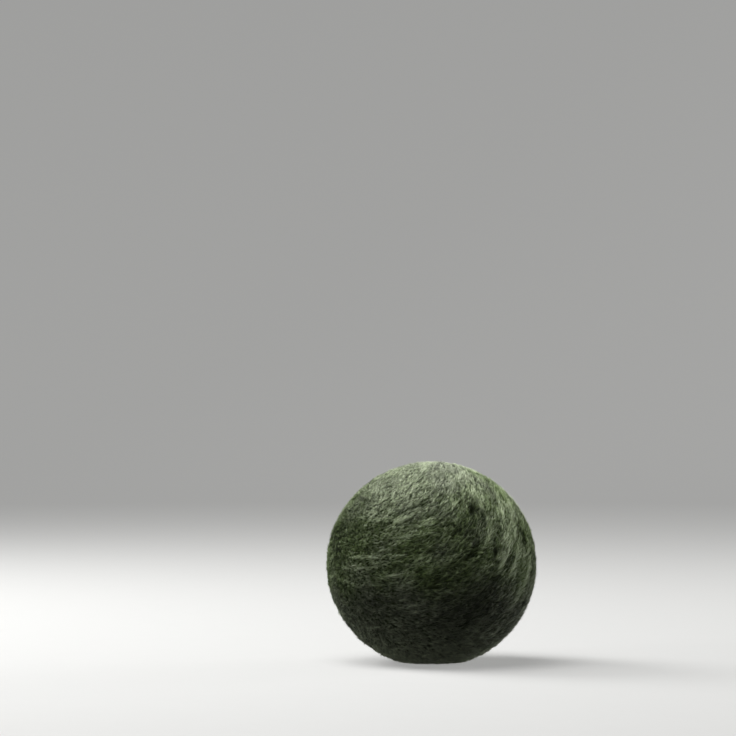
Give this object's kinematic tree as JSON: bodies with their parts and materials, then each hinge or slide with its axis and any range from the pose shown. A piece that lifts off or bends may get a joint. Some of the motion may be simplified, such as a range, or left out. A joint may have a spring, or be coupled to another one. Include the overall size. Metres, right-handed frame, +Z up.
{
  "type": "marimo moss ball",
  "caption": "Small round moss ball of short pile combed flat in sweeping locks, with a slight flat spot below that it rests on.",
  "frame": {"origin": "middle of the small flat spot that the ball rests on, at the middle of its outline seen from above", "axes": "+Z up, -Y towards the side that the picture shows, +X to the right of that side"},
  "size_m": [0.047, 0.047, 0.045],
  "materials": {
    "moss_pile": "matt grey-olive pile of fine fibres, combed flat"
  },
  "bodies": {
    "root": {"moss_ball": "moss_pile"}
  },
  "joints": []
}
